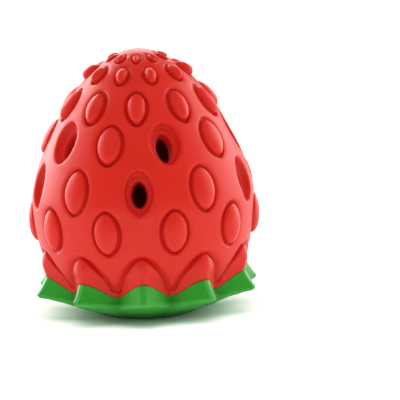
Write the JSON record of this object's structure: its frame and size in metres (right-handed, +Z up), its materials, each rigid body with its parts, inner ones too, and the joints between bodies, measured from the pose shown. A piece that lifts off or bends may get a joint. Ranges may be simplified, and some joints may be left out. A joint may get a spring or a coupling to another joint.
{
  "type": "treat dispensing toy",
  "caption": "Hollow rubber dog toy shaped like a strawberry, with oval treat ports in a seeded shell and a leafy base with a flexing filling slot.",
  "frame": {"origin": "middle of the flat foot under the leafy base, on the surface that the toy stands on", "axes": "+Z up through the nose of the berry, -Y the pictured front, +X to the right as seen from the front"},
  "size_m": [0.0796, 0.0788, 0.0916],
  "materials": {
    "red_rubber": "satin",
    "green_rubber": "satin"
  },
  "bodies": {
    "toy": {"body_shell": "red_rubber", "calyx_base": "green_rubber"},
    "flap_front_right": {"flap_front_right": "green_rubber"},
    "flap_back_right": {"flap_back_right": "green_rubber"},
    "flap_back_left": {"flap_back_left": "green_rubber"},
    "flap_front_left": {"flap_front_left": "green_rubber"}
  },
  "joints": [
    {"name": "front_right_bend", "type": "hinge", "parent": "toy", "child": "flap_front_right", "pos_m": [0.00651, -0.00651, 0.0022], "axis": [0.7071, 0.7071, 0], "range_deg": [-40, 60], "stiffness_Nm_per_rad": 0.02},
    {"name": "back_right_bend", "type": "hinge", "parent": "toy", "child": "flap_back_right", "pos_m": [0.00651, 0.00651, 0.0022], "axis": [-0.7071, 0.7071, 0], "range_deg": [-40, 60], "stiffness_Nm_per_rad": 0.02},
    {"name": "back_left_bend", "type": "hinge", "parent": "toy", "child": "flap_back_left", "pos_m": [-0.00651, 0.00651, 0.0022], "axis": [-0.7071, -0.7071, 0], "range_deg": [-40, 60], "stiffness_Nm_per_rad": 0.02},
    {"name": "front_left_bend", "type": "hinge", "parent": "toy", "child": "flap_front_left", "pos_m": [-0.00651, -0.00651, 0.0022], "axis": [0.7071, -0.7071, 0], "range_deg": [-40, 60], "stiffness_Nm_per_rad": 0.02}
  ]
}
